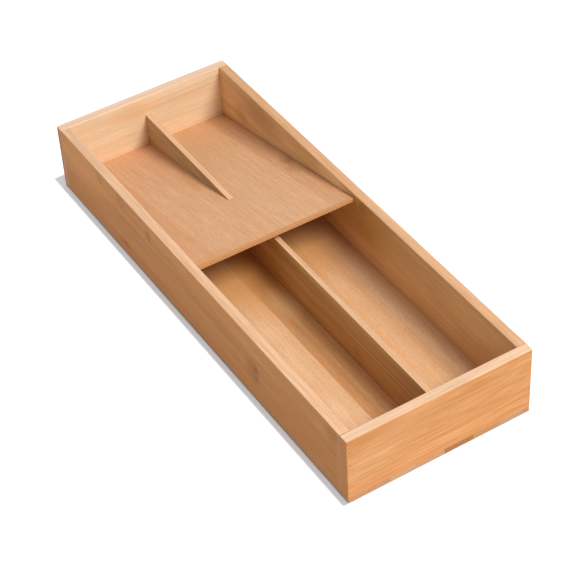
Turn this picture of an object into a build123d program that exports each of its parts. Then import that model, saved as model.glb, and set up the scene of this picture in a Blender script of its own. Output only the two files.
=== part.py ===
from build123d import *

import os
from math import acos, atan2, cos, hypot, sin, tan

# Bamboo cutlery tray: four frame boards, butted and pinned at the corners, on a thin panel.
# The front half is two open compartments. Over the back half lies a shelf that slopes down to
# the back, with two more compartments on it, and the lower ones run on under the shelf.
# X runs across the tray, Y from its front to its back and Z up.
# The origin is at the middle of the underside.

# Driving dimensions of the whole tray, in millimetres
tray_length = 396.0
tray_width = 146.0
tray_height = 57.0
frame_thickness = 7.5
panel_thickness = 4.4
corner_radius = 1.2
rim_radius = 0.7
foot_radius = 0.5

# Sloping shelf: its front edge, its rear edge and the housings that hold its ends
shelf_thickness = 3.0
shelf_setback = 198.6
shelf_drop = 3.2
shelf_rear_height = 4.8
shelf_end_gap = 0.4
shelf_edge_radius = 0.6
housing_depth = 2.5
housing_stop = 12.0
housing_clearance = 0.1

# Dividers: the lower one stands off the middle, towards the right
divider_thickness = 4.2
divider_edge_radius = 0.5
lower_divider_offset = 2.5
lower_divider_reveal = 6.5
lower_divider_tail = 7.4
upper_divider_offset = 0.5
upper_divider_drop = 17.0
upper_divider_nose = 0.4

# Steel pins, driven in and set a little under the surface
pin_radius = 0.6
pin_clearance = 0.03
pin_set = 0.4
frame_pin_length = 25.0
frame_pin_inset = 2.8
frame_pin_pitch = 11.5
frame_pin_count = 4
panel_pin_length = 12.0
panel_pin_end_distance = 45.0
panel_pin_side_distance = 28.0
side_panel_pin_count = 5
divider_panel_pin_count = 3

# How far a cut runs past the face that it opens
cut_overrun = 1.0

# Faces and lines that the pieces share
half_width = tray_width / 2
half_length = tray_length / 2
inner_half_width = half_width - frame_thickness
inner_half_length = half_length - frame_thickness
floor_level = panel_thickness
rim_level = tray_height

# The shelf's slope, from the height and run between its front edge and its rear edge
shelf_front_y = -half_length + shelf_setback
shelf_front_z = rim_level - shelf_drop
shelf_rise = shelf_front_z - floor_level - shelf_rear_height
shelf_run = inner_half_length - shelf_front_y
shelf_slope = acos(shelf_thickness / hypot(shelf_rise, shelf_run)) - atan2(shelf_run, shelf_rise)
underside_front_y = shelf_front_y - shelf_thickness * sin(shelf_slope)
underside_front_z = shelf_front_z - shelf_thickness * cos(shelf_slope)


def shelf_point(along, above):
    # Point at a distance behind the shelf's front edge and a height over its top, square to it.
    y = shelf_front_y + along * cos(shelf_slope) + above * sin(shelf_slope)
    z = shelf_front_z - along * sin(shelf_slope) + above * cos(shelf_slope)
    return (y, z)


def top_height(y):
    # Height of the shelf's top at y.
    return shelf_front_z - (y - shelf_front_y) * tan(shelf_slope)


def under_height(y):
    # Height of the shelf's underside at y.
    return underside_front_z - (y - underside_front_y) * tan(shelf_slope)


def block(low, high):
    # Box between its lowest and its highest corner.
    size = [b - a for a, b in zip(low, high)]
    centre = [(a + b) / 2 for a, b in zip(low, high)]
    return Pos(*centre) * Box(*size)


def plate(outline, x_low, x_high):
    # Outline in Y and Z, made thick from x_low to x_high.
    face = Plane.YZ * make_face(Polyline(*outline, close=True))
    return Pos(x_low, 0, 0) * extrude(face, amount=x_high - x_low)


def rod(start, direction, radius, length):
    # Round bar from a start point along a direction.
    base = Plane(origin=start, z_dir=direction)
    return base * Cylinder(radius, length, align=(Align.CENTER, Align.CENTER, Align.MIN))


def edges_at_height(shape, height):
    # Edges that lie level at a height.
    return shape.edges().filter_by_position(Axis.Z, height, height)


def frame_pin_places():
    # Outer ends and directions of the pins through the end boards into the side boards.
    for side in (-1, 1):
        for end in (-1, 1):
            for row in range(1, frame_pin_count + 1):
                x = side * (half_width - frame_pin_inset)
                yield (x, end * half_length, row * frame_pin_pitch), (0, -end, 0)


def panel_pin_places():
    # Outer ends and directions of the pins up through the panel into the boards and the divider.
    up = (0, 0, 1)
    for side in (-1, 1):
        x = side * (half_width - frame_thickness / 2)
        span = half_length - panel_pin_end_distance
        for step in range(side_panel_pin_count):
            yield (x, span * (2 * step / (side_panel_pin_count - 1) - 1), 0), up
        for end in (-1, 1):
            y = end * (half_length - frame_thickness / 2)
            yield (side * (half_width - panel_pin_side_distance), y, 0), up
    front = panel_pin_end_distance - half_length
    for step in range(divider_panel_pin_count):
        share = step / (divider_panel_pin_count - 1)
        yield (lower_divider_offset, front + share * (shelf_front_y - front), 0), up


def pins(places, length):
    # The pins themselves, each set under the face that it was driven through.
    group = []
    for start, direction in places:
        head = [a + pin_set * b for a, b in zip(start, direction)]
        group.append(rod(head, direction, pin_radius, length))
    return group


def pin_holes(places, length):
    # The holes that the pins lie in, open at the face.
    group = []
    for start, direction in places:
        mouth = [a - cut_overrun * b for a, b in zip(start, direction)]
        depth = cut_overrun + pin_set + length + pin_clearance
        group.append(rod(mouth, direction, pin_radius + pin_clearance, depth))
    return group


frame_pin_group = pins(frame_pin_places(), frame_pin_length)
panel_pin_group = pins(panel_pin_places(), panel_pin_length)
frame_holes = pin_holes(frame_pin_places(), frame_pin_length)
panel_holes = pin_holes(panel_pin_places(), panel_pin_length)


def frame_ring():
    # The whole frame with its corners and rims eased, as it is sanded after the glue has set.
    outer = block((-half_width, -half_length, floor_level), (half_width, half_length, rim_level))
    outer = fillet(outer.edges().filter_by(Axis.Z), corner_radius)
    outer = fillet(edges_at_height(outer, rim_level), rim_radius)
    hollow = block(
        (-inner_half_width, -inner_half_length, floor_level - cut_overrun),
        (inner_half_width, inner_half_length, rim_level + cut_overrun),
    )
    ring = outer - hollow
    inner_rim = [e for e in edges_at_height(ring, rim_level) if touches_hollow(e)]
    return fillet(inner_rim, rim_radius)


def touches_hollow(edge):
    # True for an edge on one of the four inner faces of the frame.
    middle = edge.center()
    across = abs(middle.X) <= inner_half_width + rim_radius
    along = abs(middle.Y) <= inner_half_length + rim_radius
    return across and along


def end_board(ring, end):
    # Front board (end -1) or back board (end 1), across the whole width.
    faces = sorted((end * inner_half_length, end * (half_length + cut_overrun)))
    space = block((-half_width, faces[0], floor_level), (half_width, faces[1], rim_level))
    return (ring & space) - frame_holes - panel_holes


def shelf_housing():
    # The pair of stopped grooves that take the shelf's ends, as one cutter.
    front = housing_stop - housing_clearance
    back = shelf_run + cut_overrun
    outline = [
        shelf_point(front, housing_clearance),
        shelf_point(back / cos(shelf_slope), housing_clearance),
        shelf_point(back / cos(shelf_slope), -shelf_thickness - housing_clearance),
        shelf_point(front, -shelf_thickness - housing_clearance),
    ]
    reach = inner_half_width + housing_depth
    return plate(outline, -reach, reach)


def side_board(ring, side):
    # Left board (side -1) or right board (side 1), between the end boards.
    faces = sorted((side * inner_half_width, side * (half_width + cut_overrun)))
    space = block(
        (faces[0], -inner_half_length, floor_level), (faces[1], inner_half_length, rim_level)
    )
    return (ring & space) - shelf_housing() - frame_holes - panel_holes


def base_panel():
    # Thin panel under the frame, flush with it all round.
    panel = block((-half_width, -half_length, 0), (half_width, half_length, panel_thickness))
    panel = fillet(panel.edges().filter_by(Axis.Z), corner_radius)
    panel = fillet(edges_at_height(panel, 0), foot_radius)
    return panel - panel_holes


def upper_shelf():
    # Sloping board, its rear end trimmed upright against the back board.
    rear_top = (inner_half_length, top_height(inner_half_length))
    rear_bottom = (inner_half_length, under_height(inner_half_length))
    outline = [shelf_point(0, 0), rear_top, rear_bottom, shelf_point(0, -shelf_thickness)]
    reach = inner_half_width - shelf_end_gap
    board = plate(outline, -reach, reach)
    front_edges = board.edges().filter_by(Axis.X).sort_by(Axis.Y)[:2]
    board = fillet(front_edges, shelf_edge_radius)
    tongue = [
        shelf_point(housing_stop, 0),
        rear_top,
        rear_bottom,
        shelf_point(housing_stop, -shelf_thickness),
    ]
    reach = inner_half_width + housing_depth - housing_clearance
    return board + plate(tongue, -reach, reach)


def lower_divider():
    # Board on the panel from the front board back, its tail cut to carry the sloping shelf.
    top = underside_front_z - lower_divider_reveal
    meeting_y = underside_front_y + (underside_front_z - top) / tan(shelf_slope)
    tail_top = floor_level + lower_divider_tail
    tail_y = underside_front_y + (underside_front_z - tail_top) / tan(shelf_slope)
    outline = [
        (-inner_half_length, floor_level),
        (tail_y, floor_level),
        (tail_y, tail_top),
        (meeting_y, top),
        (-inner_half_length, top),
    ]
    left = lower_divider_offset - divider_thickness / 2
    board = plate(outline, left, left + divider_thickness)
    board = fillet(edges_at_height(board, top).filter_by(Axis.Y), divider_edge_radius)
    return board - panel_holes


def upper_divider():
    # Wedge on the shelf, level on top, that tapers to a blunt nose at the front.
    top = rim_level - upper_divider_drop
    tip_y = shelf_front_y + (shelf_front_z - top + upper_divider_nose) / tan(shelf_slope)
    outline = [
        (tip_y, top_height(tip_y)),
        (inner_half_length, top_height(inner_half_length)),
        (inner_half_length, top),
        (tip_y, top),
    ]
    left = upper_divider_offset - divider_thickness / 2
    board = plate(outline, left, left + divider_thickness)
    return fillet(edges_at_height(board, top).filter_by(Axis.Y), divider_edge_radius)


ring = frame_ring()
nodes = {
    "front_board": end_board(ring, -1),
    "back_board": end_board(ring, 1),
    "left_side_board": side_board(ring, -1),
    "right_side_board": side_board(ring, 1),
    "base_panel": base_panel(),
    "upper_shelf": upper_shelf(),
    "upper_divider": upper_divider(),
    "lower_divider": lower_divider(),
    "frame_pins": Compound(frame_pin_group),
    "panel_pins": Compound(panel_pin_group),
}

os.makedirs("parts", exist_ok=True)
for name, shape in nodes.items():
    export_step(shape, f"parts/{name}.step")
    size = shape.bounding_box().size
    print(f"{name}: {len(shape.solids())} solids, {size.X:.2f} x {size.Y:.2f} x {size.Z:.2f} mm")
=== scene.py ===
from math import cos, pi, radians, sin, tan

import bpy
import numpy as np
from mathutils import Matrix, Vector


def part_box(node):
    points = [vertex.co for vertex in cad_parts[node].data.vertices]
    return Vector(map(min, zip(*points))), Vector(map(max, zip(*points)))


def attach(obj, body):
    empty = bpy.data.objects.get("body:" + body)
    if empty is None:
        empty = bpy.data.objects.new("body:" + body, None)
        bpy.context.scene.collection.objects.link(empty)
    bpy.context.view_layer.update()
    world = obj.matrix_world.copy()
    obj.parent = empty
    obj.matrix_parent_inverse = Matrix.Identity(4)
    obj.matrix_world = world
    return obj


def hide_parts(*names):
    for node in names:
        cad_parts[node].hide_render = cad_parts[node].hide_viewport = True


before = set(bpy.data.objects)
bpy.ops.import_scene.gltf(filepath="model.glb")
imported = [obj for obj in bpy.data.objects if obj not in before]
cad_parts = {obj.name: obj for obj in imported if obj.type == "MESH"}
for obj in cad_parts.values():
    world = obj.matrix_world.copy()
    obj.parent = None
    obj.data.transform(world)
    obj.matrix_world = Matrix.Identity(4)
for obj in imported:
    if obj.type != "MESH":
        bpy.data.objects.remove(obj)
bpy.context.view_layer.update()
print("frame loaded:", sorted(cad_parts))

mm = 0.001


def hexColour(code, alpha=1.0):
    # sRGB hex to linear light, channel by channel, with the numbers of the sRGB standard
    parts = np.array([int(code[i:i + 2], 16) for i in (1, 3, 5)]) / 255
    linear = np.where(parts <= 0.04045, parts / 12.92, ((parts + 0.055) / 1.055) ** 2.4)
    return (*linear.tolist(), alpha)


def addNode(tree, kind, inputs=(), **settings):
    # one shader node with its settings. Its inputs are a list, for its first sockets in order, or
    # a dictionary by socket, and each one is a fixed value or a socket that feeds it.
    node = tree.nodes.new("ShaderNode" + kind)
    for key, value in settings.items():
        setattr(node, key, value)
    for key, value in inputs.items() if isinstance(inputs, dict) else enumerate(inputs):
        if isinstance(value, bpy.types.NodeSocket):
            tree.links.new(value, node.inputs[key])
        else:
            node.inputs[key].default_value = value
    return node


def emptyMaterial(name):
    # a new material without nodes, and its node tree
    material = bpy.data.materials.new(name)
    material.use_nodes = True
    material.node_tree.nodes.clear()
    return material, material.node_tree


# How the boards are drawn and sanded. Lengths are in millimetres.
sanding = {
    "roundSteps": 3,         # grid lines across half of an eased edge
    "closestLines": 0.02,    # grid lines nearer than this become one
    "onFace": 0.01,          # a point this near to a face lies on it
    "quickWander": 0.10,     # the sanded radius varies along an edge by these shares of itself
    "slowWander": 0.07,
    "quickTurn": 0.21,       # radians to a millimetre along the edge
    "slowTurn": 0.083,
    "quickStart": 1.3,       # radians to a millimetre of the edge's radius
    "slowStart": 2.1,        # radians
    "seamReach": 0.35,       # half the width of the dip along a seam
    "seamMiddle": 0.12,      # one more grid line on each side, inside the dip
    "seamMargin": 1.0,       # a seam nearer to the board's side than this is not pressed
    "holeLines": (0.4, 0.8, 1.0, 1.08, 1.6),    # round a pin's centre, in radii of its hole
    "holeRim": 1.05,         # points within this many radii are punched in
}


def easeSteps(radius):
    # distances from a square corner at which a round of this radius turns by equal angles
    angles = np.linspace(pi / 4, 0, sanding["roundSteps"] + 1)
    return radius * (1 - np.tan(angles))


def gridLines(low, high, pitch, radiiLow, radiiHigh, extra):
    # lines along one axis: close together in the eased edges and at the extra places
    lines = [np.linspace(low, high, max(2, round((high - low) / pitch) + 1))]
    lines += [low + easeSteps(r) for r in radiiLow] + [high - easeSteps(r) for r in radiiHigh]
    lines += [np.array([place for place in extra if low < place < high])]
    lines = np.unique(np.round(np.concatenate(lines), 4))
    lines = lines[np.concatenate([[True], np.diff(lines) > sanding["closestLines"]])]
    lines[-1] = high
    return lines


def boxSkin(linesX, linesY, linesZ):
    # the outer shell of a lattice of points: (i, j, k) is kept where one index is first or last
    shape = (len(linesX), len(linesY), len(linesZ))
    i, j, k = np.indices(shape)
    skin = (i == 0) | (i == shape[0] - 1) | (j == 0) | (j == shape[1] - 1)
    skin |= (k == 0) | (k == shape[2] - 1)
    number = np.full(shape, -1)
    number[skin] = np.arange(skin.sum())
    points = np.stack([linesX[i[skin]], linesY[j[skin]], linesZ[k[skin]]], axis=1)
    quads = []
    for axis in range(3):
        turned = np.moveaxis(number, axis, 0)
        for side in (0, -1):
            sheet = turned[side]
            quad = np.stack([sheet[:-1, :-1], sheet[1:, :-1], sheet[1:, 1:], sheet[:-1, 1:]], axis=-1)
            quad = quad.reshape(-1, 4)
            # for the Y faces, the two axes left over run the other way round
            outward = (side == -1) != (axis == 1)
            quads.append(quad if outward else quad[:, ::-1])
    return points, np.concatenate(quads)


def easeEdge(points, low, high, edge, radius):
    # sanded edge, named by its two faces, such as x-z+: in units of the radius, a point (a, b) past
    # the round's centre line is scaled by max(a, b) / hypot(a, b), so squares round the centre line
    # become circles. The radius varies along the edge as the sum of two sine waves.
    sides = [("xyz".index(edge[n]), 1 if edge[n + 1] == "+" else -1) for n in (0, 2)]
    (axisA, signA), (axisB, signB) = sides
    along = points[:, 3 - axisA - axisB]
    quick = np.sin(along * sanding["quickTurn"] + sanding["quickStart"] * radius)
    slow = np.sin(along * sanding["slowTurn"] + sanding["slowStart"])
    wear = radius * (1 + sanding["quickWander"] * quick + sanding["slowWander"] * slow)
    centreA = (high if signA > 0 else low)[axisA] - signA * wear
    centreB = (high if signB > 0 else low)[axisB] - signB * wear
    a = np.clip(signA * (points[:, axisA] - centreA) / wear, 0, None)
    b = np.clip(signB * (points[:, axisB] - centreB) / wear, 0, None)
    inside = (a > 0) & (b > 0)
    scale = np.where(inside, np.maximum(a, b) / np.maximum(np.hypot(a, b), 1e-9), 1.0)
    points[:, axisA] = np.where(inside, centreA + signA * a * scale * wear, points[:, axisA])
    points[:, axisB] = np.where(inside, centreB + signB * b * scale * wear, points[:, axisB])
    # how much of a corner this is: 1 on the diagonal, 0 where the round meets the flats
    return np.where(inside, np.minimum(a, b) / np.maximum(np.maximum(a, b), 1e-9), 0.0)


def boardSkin(low, high, eased, pitch, extra=None):
    # a board's skin in its own box, in millimetres: lattice shell with its edges sanded round
    low, high = np.array(low, float), np.array(high, float)
    lines = []
    for axis, letter in enumerate("xyz"):
        radii = {"-": set(), "+": set()}
        for edge, radius in eased.items():
            for n in (0, 2):
                if edge[n] == letter:
                    radii[edge[n + 1]].add(radius)
        places = (extra or {}).get(letter, [])
        lines.append(gridLines(low[axis], high[axis], pitch[axis], radii["-"], radii["+"], places))
    points, quads = boxSkin(*lines)
    worn = np.zeros(len(points))
    for edge, radius in eased.items():
        worn = np.maximum(worn, easeEdge(points, low, high, edge, radius))
    return points, quads, worn


def dentPins(points, pins, radius, depth, axis, face, inward):
    # a punched hole: points on the face within the radius of a pin move in to its depth
    mark = np.zeros(len(points))
    others = [n for n in range(3) if n != axis]
    for place, strength in pins:
        away = np.hypot(points[:, others[0]] - place[0], points[:, others[1]] - place[1])
        hit = (np.abs(points[:, axis] - face) < sanding["onFace"]) & (away < radius * sanding["holeRim"])
        points[hit, axis] += inward * depth
        mark[hit] = strength
    return mark


def linesRound(centres, reaches):
    # grid lines at each centre and at each reach on both sides of it
    reaches = np.array(reaches)
    offsets = np.concatenate([-reaches, [0], reaches])
    return (np.array(centres)[:, None] + offsets[None, :]).ravel()


def pinLines(centres, radius):
    # grid lines round each pin's centre, close enough to draw its hole
    return linesRound(centres, np.array(sanding["holeLines"]) * radius)


def seamLines(seams):
    # grid lines across each seam between two strips
    return linesRound(seams, (sanding["seamMiddle"], sanding["seamReach"]))


def pressSeams(points, seams, across, through, low, high, depth):
    # seam between strips: on the broad faces the skin dips by depth * (1 - distance / reach)
    margin = sanding["seamMargin"]
    seams = np.array([seam for seam in seams if low[across] + margin < seam < high[across] - margin])
    away = np.abs(points[:, across, None] - seams[None, :]).min(axis=1)
    dip = depth * np.clip(1 - away / sanding["seamReach"], 0, 1)
    level = points[:, through]
    points[:, through] += np.where(np.abs(level - low[through]) < sanding["onFace"], dip, 0)
    points[:, through] -= np.where(np.abs(level - high[through]) < sanding["onFace"], dip, 0)


def makePiece(name, points, quads, attributes, material, nodes):
    # a mesh from whole arrays, in metres, that stands for its CAD nodes
    mesh = bpy.data.meshes.new(name)
    mesh.from_pydata((points * mm).tolist(), [], quads.tolist())
    for label, values in attributes.items():
        layer = mesh.attributes.new(label, "FLOAT", "POINT")
        layer.data.foreach_set("value", np.asarray(values, np.float32))
    mesh.polygons.foreach_set("use_smooth", np.ones(len(mesh.polygons), bool))
    mesh.update()
    piece = bpy.data.objects.new(name, mesh)
    bpy.context.scene.collection.objects.link(piece)
    mesh.materials.append(material)
    facets = piece.modifiers.new("facets", "WEIGHTED_NORMAL")
    facets.keep_sharp = True
    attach(piece, "root")
    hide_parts(*nodes)


def corners(node):
    # lowest and highest corner of a CAD node, in millimetres
    low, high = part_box(node)
    return np.array(low) / mm, np.array(high) / mm


# What every bamboo piece shares. Lengths are in millimetres. A pattern's band is the part of its
# noise's range over which it comes in.
bambooLook = {
    "shift": (0, 0, 0),      # moves the whole pattern in the board
    "slide": 900.0,          # the most that a strip's pattern slides along the grain
    "sway": 1.6,             # how far the fibres wander sideways
    "swayLength": 75,
    "swayWidth": 16,
    "streakLength": 150,     # darker streaks, two to three millimetres wide
    "streakWidth": 2.6,
    "streakBand": (0.33, 0.67),
    "patchLength": 60,       # riper wood in broad soft patches
    "patchWidth": 11,
    "patchBand": (0.35, 0.65),
    "ripeness": 0.30,
    "hairLength": 24,
    "hairWidth": 0.9,        # real fibres are about 0.2 mm, too fine for the render to show
    "hairBand": (0.3, 0.7),
    "hair": 0.11,
    "bundleLength": 15,
    "bundleWidth": 1.05,     # one fibre bundle to a square millimetre
    "bundleBand": (0.34, 0.14),    # how near to a bundle's middle it begins to show, and shows fully
    "bundles": 0.10,
    "fleckLength": 4,        # short dark fibres in a knot
    "fleckWidth": 1.2,
    "fleckBand": (0.38, 0.62),
    "fleckShares": (0.35, 1.5),    # how much of a mark's tone shows between flecks and in them
    "hairShares": (0.6, 1.3),      # the same for a cloud, between the hairs and on them
    "spotMiddle": 0.2,       # a spot has its full strength up to this share of its half size
    "brown": "#8A5A30",
    "cutBand": (0.6, 0.85),  # how square to the grain a face turns before it shows as cut
    "rimShare": 0.0,
    "rimStreak": 0.7,
    "end": "#D29A66",
    "wear": 0.40,
    "hole": "#A0683C",
    "roughBand": (0.3, 0.7),
    "rough": (0.46, 0.58),
    "ior": 1.5,
    "specular": 0.12,        # low, because the thin oil has dried matt
    "relief": 0.03,
    "reliefStrength": 0.35,
    "throughTones": (),
    "endStrips": (),
    "marks": (),
    "clouds": (),
}

softStep = {"interpolation_type": "SMOOTHSTEP"}    # for a range that eases in and out


def grainPattern(tree, look, label, kind, vector, **values):
    # a pattern in which one unit is its length along the grain and its width across it
    length, width = look[label + "Length"], look[label + "Width"]
    scale = (1 / length, 1 / width, 1 / width)
    stretched = addNode(tree, "VectorMath", [vector, scale], operation="MULTIPLY")
    return addNode(tree, kind, {"Vector": stretched.outputs[0], "Scale": 1.0, **values}).outputs[0]


def steppedTones(tree, place, span, tones):
    # tones side by side over a span: each has the place where it starts, its colour and, where it
    # has one, its slide along the grain as the colour's alpha
    low, high = span
    stops = sorted((max(0.0, (start - low) / (high - low)), hexColour(*tone)) for start, *tone in tones)
    share = addNode(tree, "MapRange", [place, low, high, 0.0, 1.0])
    node = addNode(tree, "ValToRGB", [share.outputs[0]])
    ramp = node.color_ramp
    for spot, colour in stops[2:]:
        ramp.elements.new(spot)
    for element, (spot, colour) in zip(ramp.elements, stops):
        element.position = spot
        element.color = colour
    ramp.interpolation = "CONSTANT"
    return node


def layTones(tree, colour, layers):
    # tones laid over a colour one by one: each has its share, its hex or socket, and how it blends
    for share, tone, blend in layers:
        tone = hexColour(tone) if isinstance(tone, str) else tone
        mix = addNode(tree, "Mix", {0: share, 6: colour, 7: tone}, data_type="RGBA", blend_type=blend)
        colour = mix.outputs[2]
    return colour


def addSpots(tree, colour, space, middle, grit, spots):
    # listed marks: inside an ellipsoid (its half sizes along, across and through the board)
    # the colour goes to the mark's own tone, most at the middle, broken up by the grit
    for place, size, strength, tone in spots:
        scale = [1 / length for length in size]
        spot = addNode(tree, "VectorMath", [space, place], operation="SUBTRACT")
        spot = addNode(tree, "VectorMath", [spot.outputs[0], scale], operation="MULTIPLY")
        spot = addNode(tree, "VectorMath", [spot.outputs[0]], operation="LENGTH")
        spot = addNode(tree, "MapRange", [spot.outputs["Value"], 1.0, middle, 0.0, strength], **softStep)
        share = addNode(tree, "Math", [spot.outputs[0], grit], operation="MULTIPLY", use_clamp=True)
        colour = layTones(tree, colour, [(share.outputs[0], tone, "MIX")])
    return colour


def movedSpots(look, spots, slides):
    # spots moved as the fibres are: across by the mean sway and, where slides is 1, along by the
    # slide of the strip that they lie in
    moved = []
    for (along, over, deep), *rest in spots:
        own = [slide for seam, tone, slide in look["strips"] if seam <= over]
        slide = look["slide"] * (own[-1] if own else look["strips"][0][2])
        moved.append(((along + slides * slide, over + look["sway"], deep), *rest))
    return moved


def bamboo(name, look):
    # Laminated bamboo, planed, sanded and given a thin matt oil: long pale fibres with darker
    # streaks, brown fibre bundles that show as dashes along the grain and dots across it, strips
    # of slightly different tone, and a darker mark where a stem's knot was planed flat.
    look = dict(bambooLook, **look)
    material, tree = emptyMaterial(name)

    # grain space, in millimetres: x along the fibres, y across the strips, z through the board
    grain, across = Vector(look["grain"]), Vector(look["across"])
    turn = Matrix((grain, across, grain.cross(across))).to_euler()
    coords = addNode(tree, "TexCoord")
    space = addNode(tree, "Mapping", {
        "Vector": coords.outputs["Object"], "Location": look["shift"], "Rotation": turn,
        "Scale": (1 / mm, 1 / mm, 1 / mm),
    })
    along, over, deep = addNode(tree, "SeparateXYZ", [space.outputs[0]]).outputs

    # strips: each slides along the grain by its own amount, so that streaks end at the seam
    strips = steppedTones(tree, over, look["stripRange"], look["strips"])
    slid = addNode(tree, "Math", [strips.outputs["Alpha"], look["slide"], along], operation="MULTIPLY_ADD")

    # the fibres sway a little sideways
    slow = addNode(tree, "CombineXYZ", [slid.outputs[0], over, deep]).outputs[0]
    sway = grainPattern(tree, look, "sway", "TexNoise", slow, Detail=1.5)
    swayed = addNode(tree, "Math", [sway, 2 * look["sway"], over], operation="MULTIPLY_ADD").outputs[0]
    fibre = addNode(tree, "CombineXYZ", [slid.outputs[0], swayed, deep]).outputs[0]
    plain = addNode(tree, "CombineXYZ", [along, swayed, deep]).outputs[0]

    # streaks, soft riper patches, single fibres and fibre bundles
    streak = grainPattern(tree, look, "streak", "TexNoise", fibre, Detail=3.0, Roughness=0.6)
    streaks = addNode(tree, "MapRange", [streak, *look["streakBand"], 0.0, 1.0], **softStep).outputs[0]
    patch = grainPattern(tree, look, "patch", "TexNoise", slow, Detail=2.0)
    patches = addNode(tree, "MapRange", [patch, *look["patchBand"], 0.0, look["ripeness"]], **softStep)
    hair = grainPattern(tree, look, "hair", "TexNoise", fibre, Detail=2.0, Roughness=0.55)
    hairs = addNode(tree, "MapRange", [hair, *look["hairBand"], 1 - look["hair"], 1 + look["hair"]])
    bundle = grainPattern(tree, look, "bundle", "TexVoronoi", fibre)
    dash = addNode(tree, "MapRange", [bundle, *look["bundleBand"], 0.0, 1.0], **softStep).outputs[0]
    dashes = addNode(tree, "Math", [dash, look["bundles"]], operation="MULTIPLY")

    # colour: pale to streak, then fibres, patches, the strip's tone and bundles
    bundleLayer = (dashes.outputs[0], look["brown"], "MIX")
    colour = layTones(tree, hexColour(look["pale"]), [(streaks, look["streak"], "MIX")])
    colour = addNode(tree, "VectorMath", {0: colour, 3: hairs.outputs[0]}, operation="SCALE").outputs[0]
    colour = layTones(tree, colour, [
        (patches.outputs[0], look["ripe"], "MIX"),
        (1.0, strips.outputs["Color"], "MULTIPLY"),
        bundleLayer,
    ])

    # soft clouds of another tone stay where they are placed, and knots belong to their strip
    grit = addNode(tree, "MapRange", [hair, *look["hairBand"], *look["hairShares"]]).outputs[0]
    clouds = movedSpots(look, look["clouds"], 0)
    colour = addSpots(tree, colour, plain, look["spotMiddle"], grit, clouds)
    fleck = grainPattern(tree, look, "fleck", "TexNoise", fibre, Detail=2.0)
    flecks = addNode(tree, "MapRange", [fleck, *look["fleckBand"], *look["fleckShares"]], **softStep)
    marks = movedSpots(look, look["marks"], 1)
    colour = addSpots(tree, colour, fibre, look["spotMiddle"], flecks.outputs[0], marks)

    # tones through the board, each from where it starts to the next: the glue lines between the shelf's
    # plies, and on the frame boards an inner and an outer face tinted apart to suit the light on each,
    # which is painted light
    throughLayers = []
    if look["throughTones"]:
        throughTones = steppedTones(tree, deep, look["throughRange"], look["throughTones"])
        throughLayers = [(1.0, throughTones.outputs["Color"], "MULTIPLY")]
    colour = layTones(tree, colour, throughLayers)

    def cutFace(direction, share):
        # the share on faces square to a direction, and 0 on the faces beside them
        facing = addNode(tree, "VectorMath", [coords.outputs["Normal"], direction], operation="DOT_PRODUCT")
        facing = addNode(tree, "Math", [facing.outputs["Value"]], operation="ABSOLUTE").outputs[0]
        return addNode(tree, "MapRange", [facing, *look["cutBand"], 0.0, share], **softStep).outputs[0]

    # cut faces: the strips' sides along a rim are paler, partly their own tone and partly a painted sheen,
    # and end grain has its own tone
    rimStreaks = addNode(tree, "Math", [streaks, look["rimStreak"]], operation="MULTIPLY")
    rimTone = layTones(tree, hexColour(look["rim"]), [(rimStreaks.outputs[0], look["rimDark"], "MIX")])
    rimTone = addNode(tree, "VectorMath", {0: rimTone, 3: hairs.outputs[0]}, operation="SCALE").outputs[0]
    endTone = hexColour(look["end"])[:3]
    if look["endStrips"]:
        endTone = steppedTones(tree, over, look["stripRange"], look["endStrips"]).outputs["Color"]
    endTone = addNode(tree, "VectorMath", {0: endTone, 3: hairs.outputs[0]}, operation="SCALE").outputs[0]
    endTone = layTones(tree, endTone, [bundleLayer, *throughLayers])

    # sanded edges are paler, and punched pin holes darker
    worn = addNode(tree, "Attribute", attribute_name="worn")
    paler = addNode(tree, "Math", [worn.outputs["Fac"], look["wear"]], operation="MULTIPLY")
    punched = addNode(tree, "Attribute", attribute_name="punched")
    colour = layTones(tree, colour, [
        (cutFace(look["across"], look["rimShare"]), rimTone, "MIX"),
        (cutFace(look["grain"], 1.0), endTone, "MIX"),
        (paler.outputs[0], look["rim"], "MIX"),
        (punched.outputs["Fac"], look["hole"], "MIX"),
    ])

    # relief: fibres stand a few hundredths of a millimetre proud, and the bundles' pores are sunk
    height = addNode(tree, "Math", [hair, dash], operation="SUBTRACT")
    bump = addNode(tree, "Bump", {
        "Height": height.outputs[0], "Strength": look["reliefStrength"], "Distance": look["relief"] * mm,
    })
    rough = addNode(tree, "MapRange", [streak, *look["roughBand"], *look["rough"]])
    wood = addNode(tree, "BsdfPrincipled", {
        "Base Color": colour, "Roughness": rough.outputs[0], "Normal": bump.outputs[0],
        "IOR": look["ior"], "Specular IOR Level": look["specular"],
    })
    addNode(tree, "OutputMaterial", [wood.outputs[0]])
    return material


frameBoards = {
    "rimEase": 0.7,
    "cornerEase": 0.9,
    "jointEase": 0.05,
    "seams": [14.7, 38.5],
    "seamDepth": 0.04,
    "pinRadius": 0.5,
    "pinDepth": 0.3,
    "pinInset": 2.2,
    "openPins": [(34.5, 0.7), (45.7, 1.0)],    # the height of each hole, and how dark it is
    "pitch": 6.0,
    "pitchThrough": 2.5,
}

# All four frame boards: strips laid one over the other, so the rims show their paler sides, whose pale tone
# also holds a painted sheen.
frameLook = {
    "across": (0, 0, 1), "stripRange": (0, 60), "rimShare": 1.0,
    "pale": "#EEB680", "streak": "#DD985D", "ripe": "#D38B4F",
    "rim": "#DFBD9F", "rimDark": "#D2AA86",
}
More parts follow.
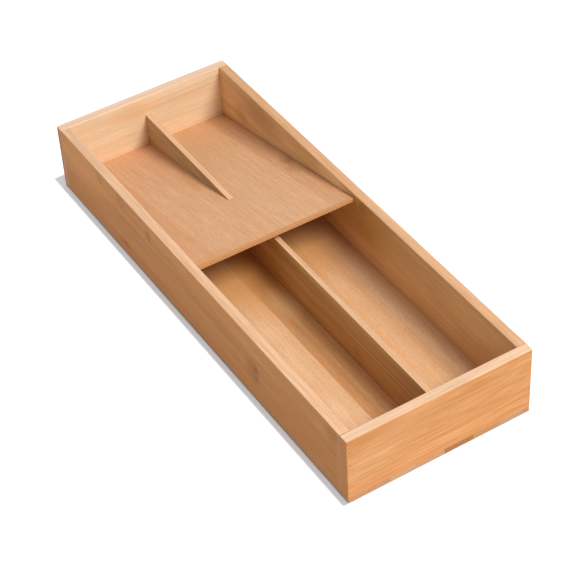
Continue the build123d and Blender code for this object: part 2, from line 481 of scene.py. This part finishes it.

# In each look, strips are (seam where it starts, tone, slide) and the tones through the board (where each
# starts, tone). Marks and
# clouds are (place, half sizes, strength, tone), with both triples along the grain, across and through.

# Front: the warmest board, with short fine streaks and a few thin dark ones.
frontLook = dict(
    frameLook, grain=(1, 0, 0), wear=0.15, end="#D48C4A",
    streakLength=48, streakWidth=1.8, bundles=0.12, hair=0.08, hairLength=30,
    strips=[(0, "#FFF8F0", 0.13), (14.7, "#FBF6F0", 0.71), (38.5, "#F8F2EC", 0.37)],
    marks=[
        ((-6, 32.5, 198), (9, 2.4, 9), 0.45, "#C98A54"), ((63, 33, 198), (10, 2.6, 9), 0.45, "#C98A54"),
    ],
    clouds=[
        ((-48, 51, 198), (30, 1.5, 9), 0.5, "#D08C52"), ((0, 43, 198), (100, 1.6, 9), 0.35, "#D39058"),
        ((10, 37.3, 198), (70, 0.8, 9), 0.45, "#C8844C"), ((-52, 31.5, 198), (28, 2.6, 9), 0.4, "#F2BC86"),
        ((-54, 22.5, 198), (26, 1.4, 9), 0.4, "#F2BA84"), ((-52, 20.4, 198), (28, 0.7, 9), 0.35, "#C8844C"),
        ((32, 20, 198), (48, 1.4, 9), 0.5, "#CD8950"), ((0, 11.5, 198), (90, 2.4, 9), 0.25, "#F0B67E"),
        ((5, 8, 198), (20, 0.8, 9), 0.5, "#C8844C"), ((0, 5.8, 198), (90, 1.8, 9), 0.45, "#CD8950"),
        ((45, 52, 198), (15, 3.4, 9), 0.3, "#F2BC86"), ((-50, 32, 198), (34, 30, 9), 0.1, "#F2C698"),
        ((-73.4, 24, 198.4), (1.8, 40, 1.8), 0.5, "#B0703C"),
    ],
)
# Back: the palest board, its fibres hardly showing, with a warmer outer face and a paler inner face, tinted
# apart to suit the light on each (painted light).
backLook = dict(
    frameLook, grain=(1, 0, 0), hair=0.05, bundles=0.12,
    pale="#F1D6B5", streak="#EACBA5", ripe="#E3BD96", rim="#EBCAAF", rimDark="#E0B99A",
    strips=[(0, "#FFFAF4", 0.63), (14.7, "#FFFFFF", 0.21), (38.5, "#FBFAF8", 0.87)],
    throughRange=(-198, -190.5), throughTones=[(-198, "#F8CEA0"), (-194.2, "#FFFFFF")],
    clouds=[
        ((16, 44.5, -190.5), (52, 3.4, 3), 0.6, "#E4B080"),
        ((10, 54, -190.5), (75, 4.5, 3), 0.4, "#F8E2C8"),
        ((-12, 49, -190.5), (36, 11, 3), 0.6, "#E8B684"),
    ],
)
# Left: duller and greener, with knots, darker along its foot and paler along its top, which is painted
# shade and painted light, and its outer face warmer than its inner one, tinted apart to suit the light on
# each (painted light).
leftLook = dict(
    frameLook, grain=(0, 1, 0),
    pale="#E2C399", streak="#D9B689", ripe="#CDA674", rim="#E1B996", rimDark="#D5A47D",
    # the two lower strips are a little darker than the top one: painted shade towards the foot
    strips=[(0, "#F4EFE6", 0.29), (14.7, "#F6F1E8", 0.83), (38.5, "#FFFFFF", 0.52)],
    throughRange=(-73, -65.5), throughTones=[(-73, "#FBC98C"), (-69.2, "#FFFFFF")],
    marks=[
        ((-83, 27, -73), (13, 15, 6), 0.5, "#A8803C"), ((-87, 27, -73), (5.0, 14, 4), 0.5, "#8A642A"),
        ((58, 47, -73), (6, 10, 6), 0.45, "#A8803C"), ((98, 11, -73), (12, 5, 6), 0.55, "#A87838"),
        ((98, 51, -73), (10, 8, 6), 0.35, "#A8803C"), ((130, 50, -73), (7, 7, 6), 0.3, "#A8803C"),
        ((-183, 49, -73), (14, 11, 6), 0.4, "#A8803C"),
    ],
    clouds=[
        # first cloud: a brown band along the foot, painted shade
        ((60, 7, -73), (230, 9, 6), 0.85, "#CE9E60"), ((20, 33, -73), (190, 5, 6), 0.35, "#C9A878"),
        # second cloud: a paler band along the top, painted light
        ((160, 44, -73), (70, 26, 6), 0.6, "#F6D2A8"), ((-10, 51, -73), (210, 9, 6), 0.35, "#F0CC9E"),
        ((-20, 21, -73), (120, 3, 6), 0.3, "#C9A878"),
    ],
)
# Right: yellower, browner under and in front of the shelf's front edge, which is painted shade, paler just
# over the shelf, which is painted light, and paler towards the front corner, with its inner face paler than
# its outer one, tinted apart to suit the light on each (painted light).
rightLook = dict(
    frameLook, grain=(0, 1, 0),
    pale="#EAC698", streak="#DEB582", ripe="#D4A974", rim="#D5A881", rimDark="#C9966C",
    strips=[(0, "#FAF2E8", 0.77), (14.7, "#FFFAF4", 0.08), (38.5, "#FCF8F2", 0.45)],
    throughRange=(65.5, 73), throughTones=[(65.5, "#FFFFFF"), (69.2, "#FFE2BE")],
    marks=[((-10, 50, 65.5), (7, 8, 3), 0.35, "#A87848"), ((160, 30, 65.5), (15, 12, 3), 0.3, "#A87848")],
    clouds=[
        # the two brown clouds under and in front of the shelf's front edge are painted shade
        ((4, 31, 65.5), (32, 16, 3), 0.45, "#C68E4C"), ((-18, 46, 65.5), (36, 34, 3), 0.97, "#C48C46"),
        ((-42, 46, 65.5), (46, 28, 3), 0.6, "#D8A868"), ((-160, 44, 65.5), (75, 20, 3), 0.55, "#FFD394"),
        # the pale cloud over the shelf, at 32 along, is painted light
        ((32, 52, 65.5), (26, 12, 3), 0.5, "#FFDCA8"), ((132, 46, 65.5), (40, 16, 3), 0.6, "#B88C64"),
    ],
)


def frameBoard(name, node, look, inner):
    # one board of the frame: eased rims, eased outer corners on the end boards, sharp joints
    low, high = corners(node)
    spec = frameBoards
    isEnd = look["grain"][0] == 1
    thick = 1 if isEnd else 0
    through, along = "xyz"[thick], "xyz"[1 - thick]
    outer = "-" if inner == "+" else "+"
    eased = {
        f"{through}+z+": spec["rimEase"],
        f"{through}-z+": spec["rimEase"],
        f"{through}{outer}z-": spec["jointEase"],
    }
    for sign in "+-":
        eased[f"{along}{sign}z+"] = spec["rimEase"] if isEnd else spec["jointEase"]
        eased[f"{along}{sign}{through}{outer}"] = spec["cornerEase"] if isEnd else spec["jointEase"]
        eased[f"{along}{sign}z-"] = spec["jointEase"]
    pitch = [spec["pitch"]] * 3
    pitch[thick] = spec["pitchThrough"]
    extra = {"z": seamLines(spec["seams"])}
    pins = []
    if isEnd:
        reach = high[0] - spec["pinInset"]
        heights = [z for z, strength in spec["openPins"]]
        extra["x"] = pinLines([-reach, reach], spec["pinRadius"])
        extra["z"] = np.concatenate([extra["z"], pinLines(heights, spec["pinRadius"])])
        pins = [((-reach if inner == "+" else reach, z), strength) for z, strength in spec["openPins"]]
    points, quads, worn = boardSkin(low, high, eased, pitch, extra)
    pressSeams(points, spec["seams"], 2, thick, low, high, spec["seamDepth"])
    face = (low if outer == "-" else high)[thick]
    inward = 1 if outer == "-" else -1
    punched = dentPins(points, pins, spec["pinRadius"], spec["pinDepth"], thick, face, inward)
    attributes = {"worn": worn, "punched": punched}
    makePiece(name, points, quads, attributes, bamboo(name + "OiledBamboo", look), [node])


frameBoard("frontBoard", "front_board", frontLook, "+")
frameBoard("backBoard", "back_board", backLook, "-")
frameBoard("leftSideBoard", "left_side_board", leftLook, "+")
frameBoard("rightSideBoard", "right_side_board", rightLook, "-")
print("frame boards built")


basePanel = {
    "footEase": 0.5,
    "cornerEase": 1.2,
    "jointEase": 0.12,
    "seams": [-70.1, -46.3, -20.9, 2.3, 26.1, 49.9],
    "seamDepth": 0.04,
    "pitch": (5, 6, 1.5),
    "look": dict(
        grain=(0, 1, 0), across=(1, 0, 0), stripRange=(-73, 73), streakWidth=1.9, sway=0.6,
        bundles=0.24, bundleLength=4.5, bundleWidth=1.2, hair=0.09,
        pale="#E1B994", streak="#DBB087", ripe="#D09D70", rim="#E0BC9A", rimDark="#D0A07A",
        strips=[
            (-73, "#FFF6EC", 0.2), (-70.1, "#FFF6EC", 0.45), (-46.3, "#FFFFFF", 0.61),
            # the tone from -12.5 to 2.3, with no seam under it, is paler and greyer for the divider's shade
            # that falls there: painted shade
            (-20.9, "#EBD5B9", 0.14), (-12.5, "#FAEDD4", 0.52),
            (2.3, "#FFFFFF", 0.77), (26.1, "#FFFAF2", 0.35), (49.9, "#FFFFFF", 0.93),
        ],
        endStrips=[
            (-73, "#D39969"), (-40, "#D9A679"), (-20.5, "#D89F6D"), (2.3, "#B57B43"), (26.1, "#CE945F"),
            (47, "#D09D72"), (67, "#CA9262"),
        ],
        clouds=[
            ((-128, -33, -4.4), (16, 8, 3), 0.30, "#F0CDA8"),
            # darker along the panel's left side at the foot: painted shade
            ((0, -73, -2.2), (330, 1.4, 5), 0.7, "#B28450"),
            ((-198, -20, -2), (6, 2.2, 6), 0.4, "#A87C54"),
            ((-198, -43, -3.5), (3, 0.6, 0.6), 0.7, "#7A5030"),
            ((-198, -41.5, -3.5), (3, 0.6, 0.6), 0.7, "#7A5030"),
            ((-198, 9.5, -2.6), (3, 0.8, 0.7), 0.8, "#6A4426"),
            # a golden tone in the shade under the shelf: painted shade
            ((26, 0, -4.4), (58, 95, 3), 0.9, "#CE9656"),
            # paler in front of the shelf beside the divider: painted light
            ((-19, -8, -4.4), (28, 13, 3), 0.5, "#F2C894"),
            ((-14, -27, -4.4), (34, 9, 3), 0.4, "#DCA468"),
        ],
    ),
}


def makePanel():
    # thin panel under the frame: corners and foot eased, a fine line round the joint with the frame
    low, high = corners("base_panel")
    spec = basePanel
    eased = {}
    for x in "+-":
        eased[f"x{x}z-"] = spec["footEase"]
        eased[f"x{x}z+"] = spec["jointEase"]
        for y in "+-":
            eased[f"x{x}y{y}"] = spec["cornerEase"]
    for y in "+-":
        eased[f"y{y}z-"] = spec["footEase"]
        eased[f"y{y}z+"] = spec["jointEase"]
    points, quads, worn = boardSkin(low, high, eased, spec["pitch"], {"x": seamLines(spec["seams"])})
    pressSeams(points, spec["seams"], 0, 2, low, high, spec["seamDepth"])
    material = bamboo("basePanelOiledBamboo", spec["look"])
    makePiece("basePanel", points, quads, {"worn": worn}, material, ["base_panel"])


makePanel()
print("base panel built")


shelfSlope = radians(12.3343)

shelf = {
    "frontY": 0.6,
    "frontZ": 53.8,
    "thick": 3.0,
    "halfWidth": 65.1,
    "backY": 190.5,
    "frontEase": 0.6,
    "endEase": 0.3,
    "tongueFrom": 12.0,
    "tongueReach": 67.8,
    "tongueDrop": 1.0,       # how far the tongues lie under the shelf's top
    "tongueRise": 0.3,       # and over its underside
    "tongueOverlap": 0.5,    # how far a tongue starts inside the shelf's end
    "tongueShort": 0.1,      # and how far it stops before the shelf's rear
    "tongueEase": 0.2,
    "tonguePitch": (1.5, 8, 1.5),
    "seams": [-46.3, -22.5, 1.3, 25.1, 48.9],
    "seamDepth": 0.035,
    "pitch": (5, 6, 1.5),
    "look": dict(
        grain=(0, cos(shelfSlope), -sin(shelfSlope)), across=(1, 0, 0), stripRange=(-68, 68),
        streakWidth=1.3, streakLength=160, sway=0.5, ripeness=0.15, end="#C5966A", wear=0.8,
        hair=0.12, hairLength=26, hairWidth=0.85, bundles=0.22, bundleLength=6,
        pale="#DBAF8B", streak="#D7A984", ripe="#CB9469", rim="#C08048", rimDark="#B87A44",
        strips=[
            (-68, "#FCF0E4", 0.31), (-46.3, "#FFFAF4", 0.11), (-22.5, "#FFF7EE", 0.67),
            (1.3, "#FFFBF6", 0.42), (25.1, "#FFFAF2", 0.88), (48.9, "#F6ECE0", 0.23),
        ],
        throughRange=(-52.7, -49.7), throughTones=[(-52.7, "#FFFFFF"), (-51.9, "#F4E4D2"), (-51.2, "#FFFFFF")],
        marks=[
            ((76, 60, -52.7), (12, 7, 3), 0.50, "#A87040"),
            ((62, 57, -52.7), (14, 6, 3), 0.35, "#A87040"),
        ],
        clouds=[
            ((100, -9, -52.7), (26, 5, 3), 0.5, "#D08A4C"),
            ((-10.4, 0, -52.7), (2.4, 300, 3), 0.9, "#C4864E"),
            # darker towards the back: painted shade
            ((170, 20, -52.7), (80, 50, 3), 0.25, "#C8945F"),
            ((-6, -45, -52.7), (9, 24, 3), 0.5, "#CF965C"),
        ],
    ),
}


def makeShelf():
    # board box (x, distance along the slope, height over the top) laid on the slope, its rear end
    # upright: y = front + u cos + v sin, z = front - u sin + v cos, with u stretched to meet the back
    spec = shelf
    c, s = cos(shelfSlope), sin(shelfSlope)
    run = spec["backY"] - spec["frontY"]
    length = run / c

    def lay(points):
        u, v = points[:, 1] * (run - points[:, 2] * s) / run, points[:, 2]
        y, z = spec["frontY"] + u * c + v * s, spec["frontZ"] - u * s + v * c
        return np.stack([points[:, 0], y, z], axis=1)

    low, high = (-spec["halfWidth"], 0, -spec["thick"]), (spec["halfWidth"], length, 0)
    eased = {"y-z+": spec["frontEase"], "y-z-": spec["frontEase"]}
    for x in "+-":
        for other in ("z+", "z-", "y-"):
            eased[f"x{x}{other}"] = spec["endEase"]
    points, quads, worn = boardSkin(low, high, eased, spec["pitch"], {"x": seamLines(spec["seams"])})
    pressSeams(points, spec["seams"], 0, 2, low, high, spec["seamDepth"])
    parts, faces, wears = [lay(points)], [quads], [worn]
    # tongues that lie in the side boards' grooves, a little below the top
    for side in (-1, 1):
        ends = sorted((side * (spec["halfWidth"] - spec["tongueOverlap"]), side * spec["tongueReach"]))
        low = (ends[0], spec["tongueFrom"], spec["tongueRise"] - spec["thick"])
        high = (ends[1], length - spec["tongueShort"], -spec["tongueDrop"])
        points, quads, worn = boardSkin(low, high, {"y-z+": spec["tongueEase"]}, spec["tonguePitch"])
        faces.append(quads + sum(len(part) for part in parts))
        parts.append(lay(points))
        wears.append(worn * 0)
    points, quads = np.concatenate(parts), np.concatenate(faces)
    attributes = {"worn": np.concatenate(wears)}
    material = bamboo("shelfOiledBamboo", spec["look"])
    makePiece("slopingShelf", points, quads, attributes, material, ["upper_shelf"])


makeShelf()
print("shelf built")


lowerDivider = {
    "topEase": 0.5,
    "footEase": 0.3,
    "bendY": 29.7,
    "tailTop": 11.8,
    "pitch": (1.5, 5, 4),
    "look": dict(
        grain=(0, 1, 0), across=(0, 0, 1), stripRange=(0, 60), streakWidth=2.4, rimShare=1.0,
        pale="#C4A374", streak="#B68C5B", ripe="#AA7E4C", rim="#DCB592", rimDark="#D09E76",
        strips=[(0, "#FFF4E8", 0.33), (22.0, "#FFFAF4", 0.74)],
        marks=[((-100, 15, 0.4), (9, 7, 4), 0.35, "#9A6C40")],
        # paler along the top of the face: painted light
        clouds=[((-90, 43, 0.4), (140, 7, 4), 0.6, "#DCB880")],
    ),
}

upperDivider = {
    "topEase": 0.5,
    "footEase": 0.3,
    "top": 40.0,
    "pitch": (1.5, 5, 4),
    "look": dict(
        lowerDivider["look"], shift=(130, 0, 0), marks=(), clouds=(),
        pale="#C5B493", streak="#B79C78", ripe="#AC8E67", rim="#E1B792", rimDark="#D5A378",
    ),
}


def makeDivider(name, node, spec, bottomAt, topAt, bends):
    # upright board: a box with its height w in 0..1 set between two lines, z = bottom + w (top - bottom)
    low, high = corners(node)
    eased = {}
    for x in "+-":
        eased[f"x{x}z+"] = spec["topEase"]
        eased[f"x{x}z-"] = spec["footEase"]
    points, quads, worn = boardSkin(low, high, eased, spec["pitch"], {"y": bends})
    share = (points[:, 2] - low[2]) / (high[2] - low[2])
    bottom, top = bottomAt(points[:, 1]), topAt(points[:, 1])
    points[:, 2] = bottom + share * (top - bottom)
    makePiece(name, points, quads, {"worn": worn}, bamboo(name + "OiledBamboo", spec["look"]), [node])


def shelfTop(y):
    # height of the shelf's top: front height less the run times the slope's tangent
    return shelf["frontZ"] - (y - shelf["frontY"]) * tan(shelfSlope)


lowerLow, lowerHigh = corners("lower_divider")
tailSlope = (lowerHigh[2] - lowerDivider["tailTop"]) / (lowerHigh[1] - lowerDivider["bendY"])
makeDivider(
    "lowerDivider", "lower_divider", lowerDivider,
    lambda y: lowerLow[2] + 0 * y,
    lambda y: lowerHigh[2] - np.clip(y - lowerDivider["bendY"], 0, None) * tailSlope,
    [lowerDivider["bendY"]],
)
makeDivider(
    "upperDivider", "upper_divider", upperDivider,
    shelfTop, lambda y: upperDivider["top"] + 0 * y, [],
)
print("dividers built")


pinSteel = {
    "colour": "#6F6A64",
    "dark": "#3E3A36",
    "grit": 0.25,            # millimetres: real drawing marks are finer than the render can show
    "roughBand": (0.3, 0.7),
    "rough": (0.42, 0.62),
}


def wireSteel():
    # Bright drawn wire, cut to length: grey metal with fine drawing marks
    material, tree = emptyMaterial("drawnWireSteel")
    coords = addNode(tree, "TexCoord")
    scale = 1 / (pinSteel["grit"] * mm)
    space = addNode(tree, "Mapping", {"Vector": coords.outputs["Object"], "Scale": (scale, scale, scale)})
    grit = addNode(tree, "TexNoise", {"Vector": space.outputs[0], "Scale": 1.0, "Detail": 3.0}).outputs[0]
    rough = addNode(tree, "MapRange", [grit, *pinSteel["roughBand"], *pinSteel["rough"]])
    metal = addNode(tree, "BsdfPrincipled", {
        "Base Color": layTones(tree, hexColour(pinSteel["colour"]), [(grit, pinSteel["dark"], "MIX")]),
        "Roughness": rough.outputs[0], "Metallic": 1.0,
    })
    addNode(tree, "OutputMaterial", [metal.outputs[0]])
    return material


steel = wireSteel()
for node in ("frame_pins", "panel_pins"):
    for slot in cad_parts[node].material_slots:
        slot.material = steel
print("pins finished")


# The studio's lengths are in metres.
studio = {
    "floorHalf": 4.0,
    "floorDrop": 0.0002,
    "floorColour": "#EFF6FF",
    "floorBounce": "#BBB9B7",    # what the floor gives back to the tray
    "floorGlow": "#F5F9FF",
    "floorLift": 0.235,      # the glow near the tray, which keeps its shadow pale
    "farLift": 1.0,          # and far from it, where the floor is pure white
    "farRange": (0.35, 1.2),
    "skyWhite": 1.0,
    "skyLight": 0.45,
    "skyColour": "#FFFFFF",
    "keyPlace": (0.571, -1.212, 1.731),
    "keySize": 0.95,
    "keyWatts": 45.0,
    "keyColour": "#FFFDFA",
    "floorLampPlace": (0.056, -0.187, 1.834),
    "floorLampRadius": 0.032,
    "floorLampWatts": 112.0,
}


def seenDirectly(tree):
    # 1 for the camera's own rays and for what gloss and glass show, 0 for light that falls on the tray
    path = addNode(tree, "LightPath").outputs
    seen = addNode(tree, "Math", [path["Is Camera Ray"], path["Is Glossy Ray"]], operation="MAXIMUM")
    seen = addNode(tree, "Math", [seen.outputs[0], path["Is Transmission Ray"]], operation="MAXIMUM")
    return seen.outputs[0]


def makeFloor():
    # White matt paper: a flat sheet, white to the camera with the object's shadow on it
    half, drop = studio["floorHalf"], -studio["floorDrop"]
    mesh = bpy.data.meshes.new("floor")
    sheet = [(-half, -half, drop), (half, -half, drop), (half, half, drop), (-half, half, drop)]
    mesh.from_pydata(sheet, [], [(0, 1, 2, 3)])
    floor = bpy.data.objects.new("floor", mesh)
    bpy.context.scene.collection.objects.link(floor)
    material, tree = emptyMaterial("paperSweep")
    seen = seenDirectly(tree)
    colour = layTones(tree, hexColour(studio["floorBounce"]), [(seen, studio["floorColour"], "MIX")])
    paper = addNode(tree, "BsdfDiffuse", [colour])
    coords = addNode(tree, "TexCoord")
    away = addNode(tree, "VectorMath", [coords.outputs["Object"]], operation="LENGTH")
    lifts = [away.outputs["Value"], *studio["farRange"], studio["floorLift"], studio["farLift"]]
    lift = addNode(tree, "MapRange", lifts, **softStep)
    lift = addNode(tree, "Math", [seen, lift.outputs[0]], operation="MULTIPLY")
    glow = addNode(tree, "Emission", [hexColour(studio["floorGlow"]), lift.outputs[0]])
    both = addNode(tree, "AddShader", [paper.outputs[0], glow.outputs[0]])
    addNode(tree, "OutputMaterial", [both.outputs[0]])
    mesh.materials.append(material)
    return floor


def makeWorld():
    # white to the camera and in reflections, a plain soft sky to everything else
    world = bpy.data.worlds.new("studioWorld")
    bpy.context.scene.world = world
    world.use_nodes = True
    tree = world.node_tree
    tree.nodes.clear()
    sky = addNode(tree, "Background", [hexColour(studio["skyColour"]), studio["skyLight"]])
    white = addNode(tree, "Background", [hexColour("#FFFFFF"), studio["skyWhite"]])
    both = addNode(tree, "MixShader", [seenDirectly(tree), sky.outputs[0], white.outputs[0]])
    addNode(tree, "OutputWorld", [both.outputs[0]])


def makeLamps(floor):
    # one big soft panel lights the tray from above the front right, and a small high lamp that
    # only the floor receives gives the narrow shadow beside the tray
    floorOnly = bpy.data.collections.new("floorOnly")
    floorOnly.objects.link(floor)
    allButFloor = bpy.data.collections.new("allButFloor")
    allButFloor.objects.link(floor)
    allButFloor.collection_objects[0].light_linking.link_state = "EXCLUDE"

    panel = bpy.data.lights.new("keyPanel", "AREA")
    panel.shape = "DISK"
    panel.size = studio["keySize"]
    panel.energy = studio["keyWatts"]
    panel.color = hexColour(studio["keyColour"])[:3]
    key = bpy.data.objects.new("keyPanel", panel)
    key.location = studio["keyPlace"]
    key.rotation_euler = Vector(studio["keyPlace"]).to_track_quat("Z", "Y").to_euler()
    key.visible_camera = False
    key.light_linking.receiver_collection = allButFloor

    bulb = bpy.data.lights.new("floorLamp", "POINT")
    bulb.energy = studio["floorLampWatts"]
    bulb.shadow_soft_size = studio["floorLampRadius"]
    high = bpy.data.objects.new("floorLamp", bulb)
    high.location = studio["floorLampPlace"]
    high.light_linking.receiver_collection = floorOnly
    for lamp in (key, high):
        bpy.context.scene.collection.objects.link(lamp)


makeLamps(makeFloor())
makeWorld()
bpy.context.scene.view_settings.view_transform = "Standard"
print("studio set")


# Metres, degrees, and the lens and sensor in millimetres.
cameraView = {
    "place": (-0.50495, -0.89333, 0.93495),
    "azimuth": -29.7636,
    "elevation": 42.3175,
    "roll": 3.6201,
    "lens": 120.094,
    "sensor": 36.0,
}


def makeCamera():
    # turned from straight down: tilt up by 90 - elevation, swing by the azimuth, roll on its own axis
    data = bpy.data.cameras.new("camera")
    data.lens = cameraView["lens"]
    data.sensor_width = cameraView["sensor"]
    camera = bpy.data.objects.new("camera", data)
    swing = Matrix.Rotation(radians(cameraView["azimuth"]), 3, "Z")
    tilt = Matrix.Rotation(radians(90 - cameraView["elevation"]), 3, "X")
    roll = Matrix.Rotation(radians(-cameraView["roll"]), 3, "Z")
    camera.rotation_euler = (swing @ tilt @ roll).to_euler()
    camera.location = cameraView["place"]
    bpy.context.scene.collection.objects.link(camera)
    bpy.context.scene.camera = camera


makeCamera()
print("camera placed")
